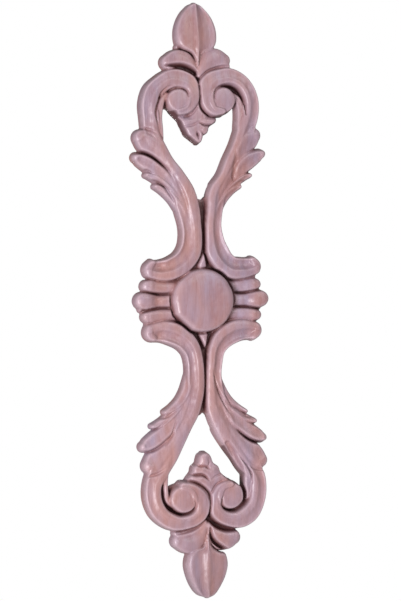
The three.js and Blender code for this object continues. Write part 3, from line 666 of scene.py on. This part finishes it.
def facesOfGrid(inside, index):
    # whole grid cells, and those that the outline crosses with their points on it
    cells = [index[:-1, :-1], index[:-1, 1:], index[1:, 1:], index[1:, :-1]]
    known = np.stack([k >= 0 for k in cells], -1)
    whole = known.all(-1)
    faces = np.stack([k[whole] for k in cells], 1).tolist()
    firstOnRim = int(inside.sum())
    crossing, rimPoints = {}, []

    def onEdge(a, b):
        key = (a, b) if a < b else (b, a)
        if key not in crossing:
            (r0, c0), (r1, c1) = key
            t = min(max(height[r0, c0] / (height[r0, c0] - height[r1, c1]), 0.04), 0.96)
            crossing[key] = firstOnRim + len(rimPoints)
            rimPoints.append((xs[c0] + (xs[c1] - xs[c0]) * t, 0.0, zs[r0] + (zs[r1] - zs[r0]) * t))
        return crossing[key]

    for r, c in zip(*np.nonzero(known.any(-1) & ~whole)):
        corners = [(r, c), (r, c + 1), (r + 1, c + 1), (r + 1, c)]
        loop = []
        for a, b in zip(corners, corners[1:] + corners[:1]):
            if inside[a]:
                loop.append(int(index[a]))
            if inside[a] != inside[b]:
                loop.append(onEdge(a, b))
        faces.append(loop)
    return faces, crossing, np.array(rimPoints)


def easeWalls(places, faces, firstOnRim, easing):
    # ease the steps that the grid leaves; walls follow the outline, not the other way round
    pairs = set()
    for face in faces:
        for u, v in zip(face, face[1:] + face[:1]):
            pairs.add((u, v) if u < v else (v, u))
    pairs = np.array(list(pairs))
    alike = (pairs.min(1) >= firstOnRim) | (pairs.max(1) < firstOnRim)
    links = np.concatenate([pairs[alike], pairs[alike][:, ::-1], np.sort(pairs[~alike], 1)])
    count = np.maximum(np.bincount(links[:, 0], minlength=len(places)), 1)[:, None]
    for _ in range(carving["easingPasses"]):
        total = [np.bincount(links[:, 0], places[links[:, 1], k], len(places)) for k in range(3)]
        places += (np.stack(total, 1) / count - places) * easing[:, None] * 0.5
    places[firstOnRim:, 1] = 0


def closeBack(mesh):
    # a flat back between the rims, with a sharp edge round it
    bm = bmesh.new()
    bm.from_mesh(mesh)
    edges = [e for e in bm.edges if e.is_boundary]
    for edge in edges:
        edge.smooth = False
    for face in bm.faces:
        face.smooth = True
    made = bmesh.ops.triangle_fill(bm, edges=edges, use_beauty=True)
    back = [g for g in made["geom"] if isinstance(g, bmesh.types.BMFace)]
    for face in back:
        face.smooth = False
        face.material_index = 1
        if face.normal.y < 0:
            face.normal_flip()
    print("back faces", len(back), "open edges", sum(len(e.link_faces) != 2 for e in bm.edges))
    bm.to_mesh(mesh)
    bm.free()


def airAround(inside):
    # the empty points that join up round the outside, so not those in the hearts
    around = np.zeros(inside.shape, bool)
    around[0] = around[-1] = True
    around[:, 0] = around[:, -1] = True
    while True:
        grown = around.copy()
        grown[1:] |= around[:-1]
        grown[:-1] |= around[1:]
        grown[:, 1:] |= around[:, :-1]
        grown[:, :-1] |= around[:, 1:]
        grown &= ~inside
        if (grown == around).all():
            return around
        around = grown


# Where the painted shade and painted highlight go: reach of each look round a point, and depths, in mm
masks = {
    "hollowReach": 2.6,
    "hollowDepth": 3.4,
    "rimReach": 1.0,
    "rimKeptLight": 0.85,
    "ridgeReach": 1.0,
    "ridgeHeight": 1.2,
    "holeReach": 2.2,
    "outsideReach": 1.8,
    "groundTop": 8.2,       # lower than this the ground gets painted shade, fully 3 mm further down
    "lowPendantWall": 0.1,  # the lower pendant's left walls are hardly darkened
    "pendantWall": 0.9,
}


def addMasks(mesh, inside, crossing, steepness):
    # painted shade in hollows and deep cuts, painted highlight on ridges (partly rubbed lightness), and
    # darker sawn walls by the pendants
    filled = np.maximum(height, 0)
    air = airAround(inside)
    nearHole = np.clip(blurred((~inside & ~air).astype(float), masks["holeReach"]) * 4, 0, 1)
    nearOutside = np.clip(blurred(air.astype(float), masks["outsideReach"]) * 4, 0, 1)
    nearRim = np.clip(blurred((~inside).astype(float), masks["rimReach"]) * 5, 0, 1)
    # painted shade: darker where the surface lies below its surroundings, kept off the rims
    hollow = np.clip((blurred(filled, masks["hollowReach"]) - height) / masks["hollowDepth"], 0, 1)
    hollow = hollow * (1 - nearRim * masks["rimKeptLight"])
    # painted highlight, partly rubbed lightness: lighter where the surface stands above its surroundings
    ridge = np.clip((height - blurred(filled, masks["ridgeReach"])) / masks["ridgeHeight"], 0, 1)
    wall = np.clip((blurred(steepness, 0.55) - 1.4) / 2.4, 0, 1)
    level = np.abs(gridZ)
    tapered = (np.abs(gridX) < 5 + (level - 96) * 0.55) & (level > 94) & (level < 127)
    lowRight = (gridZ < -97) & (gridZ > -124) & (gridX > 0) & (gridX < 26)
    pendantArea = tapered | lowRight
    # painted shade on low ground in deep cuts, away from the outside and from the hearts' edges except by the
    # upper pendant
    sunk = np.clip((masks["groundTop"] - height) / 3.0, 0, 1) * (1 - nearOutside)
    sunk = sunk * (1 - nearHole * (1 - pendantArea * (gridZ > 0)))
    # darker sawn walls by the pendants, added to the painted shade
    lowLeft = (gridZ < 0) & (gridX < 12)
    wallDarkness = np.where(lowLeft, masks["lowPendantWall"], masks["pendantWall"])
    shade_and_walls = np.clip(sunk + wall * nearHole * pendantArea * wallDarkness, 0, 1)
    rimCells = tuple(np.array([a for a, _ in crossing]).T)
    for label, values in (("hollow", hollow), ("ridge", ridge), ("shade_and_walls", shade_and_walls)):
        values = np.clip(blurred(values, 0.3), 0, 1)
        layer = mesh.attributes.new(label, "FLOAT", "POINT")
        layer.data.foreach_set("value", np.concatenate([values[inside], values[rimCells]]).astype(np.float32))


def reliefMesh(name):
    inside = height > 0
    firstOnRim = int(inside.sum())
    index = np.full(height.shape, -1)
    index[inside] = np.arange(firstOnRim)
    r, c = np.nonzero(inside)
    faces, crossing, rimPoints = facesOfGrid(inside, index)
    places = np.concatenate([np.stack([xs[c], -height[r, c], zs[r]], 1), rimPoints])
    steepness = np.minimum(np.hypot(*np.gradient(height, carving["gridStep"])), carving["steepest"])
    onWall = np.clip((blurred(steepness, 0.5) - 1.0) / 2.5, 0, 1)
    easeWalls(places, faces, firstOnRim, np.concatenate([onWall[inside], np.ones(len(rimPoints))]))
    mesh = bpy.data.meshes.new(name)
    mesh.from_pydata((places / 1000).tolist(), [], faces)
    closeBack(mesh)
    addMasks(mesh, inside, crossing, steepness)
    return mesh


mesh = reliefMesh("carvedApplique")
carvedApplique = bpy.data.objects.new("carvedApplique", mesh)
scene.collection.objects.link(carvedApplique)
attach(carvedApplique, "root")
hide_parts("applique")
print("mesh:", len(mesh.vertices), "points", sum(len(p.vertices) - 2 for p in mesh.polygons), "triangles")

# The finish: colours of the bare wood, of the painted shade and painted highlight, and how strongly each
# effect shows
wood = {
    "rose": (0.375, 0.202, 0.190),
    "lilac": (0.318, 0.236, 0.300),
    "heartRed": (0.262, 0.098, 0.080),
    # the rings and pores, and also the painted shade in hollows
    "ringAndShadeBrown": (0.240, 0.100, 0.086),
    # painted highlight on ridges, partly rubbed lightness
    "ridgeHighlightAndWear": (0.540, 0.400, 0.440),
    # painted shade in deep cuts and on low ground, and the darker sawn walls by the pendants
    "shadeAndWallBrown": (0.082, 0.024, 0.026),
    "ringSpacing": 0.0062,  # metres
    "streakWidth": 0.0007,
    "patches": 0.55,
    "rings": 0.16,
    # how strongly the painted highlight, the painted shade in hollows and the painted shade in cuts show
    "ridge": 0.7,
    "hollow": 0.7,
    "shade_and_walls": 0.92,
    "pores": 0.35,
    "satin": 0.37,
    "backRougher": 0.25,
    "bumpStrength": 0.45,
}


def nodeIn(tree, kind, links=None, **settings):
    # a node with its settings; links holds a socket or a plain value for each input
    node = tree.nodes.new(kind)
    for name, value in settings.items():
        setattr(node, name, value)
    for socket, value in (links or {}).items():
        if isinstance(value, bpy.types.NodeSocket):
            tree.links.new(value, node.inputs[socket])
        else:
            node.inputs[socket].default_value = value
    return node


def mixColour(tree, share, a, b, blend="MIX"):
    a, b = ((*c, 1) if isinstance(c, tuple) else c for c in (a, b))
    node = nodeIn(tree, "ShaderNodeMix", data_type="RGBA", blend_type=blend)
    for socket, value in ((0, share), (6, a), (7, b)):
        if isinstance(value, bpy.types.NodeSocket):
            tree.links.new(value, node.inputs[socket])
        else:
            node.inputs[socket].default_value = value
    return node.outputs[2]


def mathNode(tree, operation, *values, clamp=False):
    return nodeIn(tree, "ShaderNodeMath", dict(enumerate(values)), operation=operation,
                  use_clamp=clamp).outputs[0]


def ranged(tree, value, low, high, newLow=0.0, newHigh=1.0, kind="LINEAR"):
    links = {"Value": value, "From Min": low, "From Max": high, "To Min": newLow, "To Max": newHigh}
    return nodeIn(tree, "ShaderNodeMapRange", links, interpolation_type=kind).outputs[0]


def noise(tree, place, scale, detail, roughness=0.5, distortion=0.0):
    links = {"Vector": place, "Scale": scale, "Detail": detail, "Roughness": roughness,
             "Distortion": distortion}
    return nodeIn(tree, "ShaderNodeTexNoise", links).outputs["Fac"]


def woodGrainGroup():
    tree = bpy.data.node_groups.new("woodGrain", "ShaderNodeTree")
    for name, value in (("Ring Spacing", 0.006), ("Streak Width", 0.0008), ("Warp", 0.004)):
        tree.interface.new_socket(name, in_out="INPUT", socket_type="NodeSocketFloat").default_value = value
    for name in ("Rings", "Streaks", "Mottle", "Patches", "Pores"):
        tree.interface.new_socket(name, in_out="OUTPUT", socket_type="NodeSocketFloat")
    given, result = nodeIn(tree, "NodeGroupInput"), nodeIn(tree, "NodeGroupOutput")
    place = nodeIn(tree, "ShaderNodeTexCoord").outputs["Object"]

    def drawnOut(share):  # the place, drawn out along the grain
        return nodeIn(tree, "ShaderNodeMapping", {"Vector": place, "Scale": (1, 1, share)}).outputs[0]

    # growth rings, slowly bending
    bend = mathNode(tree, "SUBTRACT", noise(tree, drawnOut(0.22), 22.0, 2.0), 0.5)
    warp = mathNode(tree, "MULTIPLY", given.outputs["Warp"], 6.0)
    split = nodeIn(tree, "ShaderNodeSeparateXYZ", {"Vector": place})
    across = mathNode(tree, "MULTIPLY_ADD", split.outputs["Y"], 1.35, split.outputs["X"])
    across = mathNode(tree, "ADD", across, mathNode(tree, "MULTIPLY", bend, warp))
    saw = mathNode(tree, "FRACT", mathNode(tree, "DIVIDE", across, given.outputs["Ring Spacing"]))
    rise = ranged(tree, saw, 0.35, 1.0, kind="SMOOTHSTEP")
    fall = ranged(tree, saw, 0.0, 0.14, 1.0, 0.0, kind="SMOOTHSTEP")
    tree.links.new(mathNode(tree, "MAXIMUM", rise, fall), result.inputs["Rings"])
    # fibres and pores
    fine = drawnOut(0.045)
    streakScale = mathNode(tree, "DIVIDE", 1.0, given.outputs["Streak Width"])
    tree.links.new(noise(tree, fine, streakScale, 3.0, 0.6), result.inputs["Streaks"])
    pores = noise(tree, fine, mathNode(tree, "MULTIPLY", streakScale, 1.6), 1.0)
    tree.links.new(ranged(tree, pores, 0.62, 0.74), result.inputs["Pores"])
    # lilac mottling and darker red patches
    soft = drawnOut(0.35)
    tree.links.new(ranged(tree, noise(tree, soft, 48.0, 3.0, 0.55), 0.36, 0.64), result.inputs["Mottle"])
    tree.links.new(ranged(tree, noise(tree, soft, 34.0, 5.0, 0.6, 0.6), 0.48, 0.70), result.inputs["Patches"])
    return tree


def shadeHighlightAndWearGroup():
    # masks for the painted shade in hollows and cuts, the painted highlight on ridges and the darker walls by
    # the pendants, made a little uneven
    tree = bpy.data.node_groups.new("shadeHighlightAndWear", "ShaderNodeTree")
    tree.interface.new_socket("Uneven", in_out="INPUT", socket_type="NodeSocketFloat").default_value = 0.3
    for name in ("Hollow", "Ridge", "Shade_and_walls"):
        tree.interface.new_socket(name, in_out="OUTPUT", socket_type="NodeSocketFloat")
    given, result = nodeIn(tree, "NodeGroupInput"), nodeIn(tree, "NodeGroupOutput")
    place = nodeIn(tree, "ShaderNodeTexCoord").outputs["Object"]
    patch = mathNode(tree, "SUBTRACT", noise(tree, place, 160.0, 3.0), 0.5)
    offset = mathNode(tree, "MULTIPLY", patch, given.outputs["Uneven"])
    for name in ("Hollow", "Ridge", "Shade_and_walls"):
        mask = nodeIn(tree, "ShaderNodeAttribute", attribute_name=name.lower()).outputs["Fac"]
        uneven = mathNode(tree, "ADD", mathNode(tree, "MULTIPLY", offset, 3.0), 1.0)
        tree.links.new(mathNode(tree, "MULTIPLY", mask, uneven, clamp=True), result.inputs[name])
    return tree


woodGrain, shadeHighlightAndWear = woodGrainGroup(), shadeHighlightAndWearGroup()


def woodMaterial(name, front):
    material = bpy.data.materials.new(name)
    material.use_nodes = True
    tree = material.node_tree
    shader = tree.nodes["Principled BSDF"]
    sizes = {"Ring Spacing": wood["ringSpacing"], "Streak Width": wood["streakWidth"]}
    grain = nodeIn(tree, "ShaderNodeGroup", sizes, node_tree=woodGrain)

    def layered(base, mask, share, over):
        return mixColour(tree, mathNode(tree, "MULTIPLY", mask, share), base, over)

    colour = mixColour(tree, grain.outputs["Mottle"], wood["rose"], wood["lilac"])
    colour = layered(colour, grain.outputs["Patches"], wood["patches"], wood["heartRed"])
    colour = layered(colour, grain.outputs["Rings"], wood["rings"], wood["ringAndShadeBrown"])
    streak = ranged(tree, grain.outputs["Streaks"], 0.25, 0.75, 0.91, 1.08)
    grey = nodeIn(tree, "ShaderNodeCombineColor", {0: streak, 1: streak, 2: streak}).outputs[0]
    colour = mixColour(tree, 1.0, colour, grey, "MULTIPLY")
    if front:
        shadingMasks = nodeIn(tree, "ShaderNodeGroup", node_tree=shadeHighlightAndWear)
        # painted highlight on ridges, partly rubbed lightness
        colour = layered(colour, shadingMasks.outputs["Ridge"], wood["ridge"], wood["ridgeHighlightAndWear"])
        # painted shade in hollows
        colour = layered(colour, shadingMasks.outputs["Hollow"], wood["hollow"], wood["ringAndShadeBrown"])
        # painted shade in deep cuts, and darker sawn walls by the pendants
        colour = layered(colour, shadingMasks.outputs["Shade_and_walls"], wood["shade_and_walls"], wood["shadeAndWallBrown"])
    colour = layered(colour, grain.outputs["Pores"], wood["pores"], wood["ringAndShadeBrown"])
    tree.links.new(colour, shader.inputs["Base Color"])
    satin = wood["satin"] + (0 if front else wood["backRougher"])
    rough = ranged(tree, grain.outputs["Streaks"], 0.3, 0.7, satin - 0.05, satin + 0.09)
    tree.links.new(rough, shader.inputs["Roughness"])
    fibres, pores = (mathNode(tree, "MULTIPLY", grain.outputs[n], 0.5) for n in ("Streaks", "Pores"))
    relief = {"Height": mathNode(tree, "SUBTRACT", fibres, pores), "Strength": wood["bumpStrength"],
              "Distance": 0.0002}
    tree.links.new(nodeIn(tree, "ShaderNodeBump", relief).outputs[0], shader.inputs["Normal"])
    shader.inputs["Specular IOR Level"].default_value = 0.5
    return material


mesh.materials.append(woodMaterial("carvedWood", True))
mesh.materials.append(woodMaterial("plainBack", False))
print("materials:", [m.name for m in mesh.materials])

# The camera, where the photo was taken from
view = {
    "azimuth": -14.0,       # the picture was taken a little from the left
    "roll": 1.2,
    "distance": 1.7,
    "frameHeight": 0.4013,  # metres of the object's plane from top to bottom of the picture
    "target": (-0.0014, -0.009, 0.0),
}


def addCamera():
    a, roll = math.radians(view["azimuth"]), math.radians(view["roll"])
    back = np.array([math.sin(a), -math.cos(a), 0.0])
    right, up = np.array([math.cos(a), math.sin(a), 0.0]), np.array([0.0, 0.0, 1.0])
    right, up = right * math.cos(roll) - up * math.sin(roll), up * math.cos(roll) + right * math.sin(roll)
    data = bpy.data.cameras.new("camera")
    data.sensor_fit = "VERTICAL"
    data.sensor_height = 24
    data.lens = 12 * view["distance"] / (view["frameHeight"] / 2)
    camera = bpy.data.objects.new("camera", data)
    place = np.array(view["target"]) + back * view["distance"]
    matrix = np.eye(4)
    matrix[:3, 0], matrix[:3, 1], matrix[:3, 2], matrix[:3, 3] = right, up, back, place
    camera.matrix_world = Matrix(matrix.tolist())
    scene.collection.objects.link(camera)
    scene.camera = camera


# Plain pale floor and soft studio light; the lights look at the middle of the applique
studio = {
    "floorRadius": 0.45,
    "floorLevel": -0.26,
    "floorColour": (0.86, 0.86, 0.85, 1),
    "airColour": (1, 0.94, 0.925, 1),
    "airStrength": 0.25,
    "lights": [
        {"name": "keyLowLeft", "place": (-0.95, -1.10, -0.32), "size": 0.42, "watts": 24,
         "colour": (0.965, 0.945, 1.0)},
        {"name": "fillHigh", "place": (0.45, -1.3, 0.75), "size": 0.8, "watts": 9, "colour": (1, 1, 1)},
        {"name": "backGlow", "place": (0, 1.5, 0), "size": 0.25, "watts": 7, "colour": (1, 1, 1)},
    ],
}


def addLight(name, place, size, watts, colour):
    data = bpy.data.lights.new(name, "AREA")
    data.size, data.energy, data.color = size, watts, colour
    light = bpy.data.objects.new(name, data)
    back = np.array(place, float)
    back /= np.linalg.norm(back)
    right = np.cross([0, 0, 1], back)
    right /= np.linalg.norm(right)
    matrix = np.eye(4)
    matrix[:3, 0], matrix[:3, 1], matrix[:3, 2], matrix[:3, 3] = right, np.cross(back, right), back, place
    light.matrix_world = Matrix(matrix.tolist())
    scene.collection.objects.link(light)


def addFloor():
    bm = bmesh.new()
    bmesh.ops.create_circle(bm, cap_ends=True, segments=96, radius=studio["floorRadius"])
    data = bpy.data.meshes.new("floor")
    bm.to_mesh(data)
    bm.free()
    material = bpy.data.materials.new("paleFloor")
    material.use_nodes = True
    shader = material.node_tree.nodes["Principled BSDF"]
    shader.inputs["Base Color"].default_value = studio["floorColour"]
    shader.inputs["Roughness"].default_value = 0.7
    data.materials.append(material)
    floor = bpy.data.objects.new("floor", data)
    floor.location.z = studio["floorLevel"]
    scene.collection.objects.link(floor)


def addWorld():
    # white behind the object, and a dimmer, warmer light on it
    world = bpy.data.worlds.new("studio")
    world.use_nodes = True
    scene.world = world
    tree = world.node_tree
    tree.nodes.clear()
    seen = nodeIn(tree, "ShaderNodeBackground", {"Color": (1, 1, 1, 1), "Strength": 1.0})
    lit = nodeIn(tree, "ShaderNodeBackground",
                 {"Color": studio["airColour"], "Strength": studio["airStrength"]})
    path = nodeIn(tree, "ShaderNodeLightPath")
    mix = nodeIn(tree, "ShaderNodeMixShader",
                 {0: path.outputs["Is Camera Ray"], 1: lit.outputs[0], 2: seen.outputs[0]})
    nodeIn(tree, "ShaderNodeOutputWorld", {"Surface": mix.outputs[0]})


addCamera()
addFloor()
addWorld()
for light in studio["lights"]:
    addLight(**light)
scene.view_settings.view_transform = "Standard"
print("camera, floor and lights set")

bpy.context.view_layer.update()
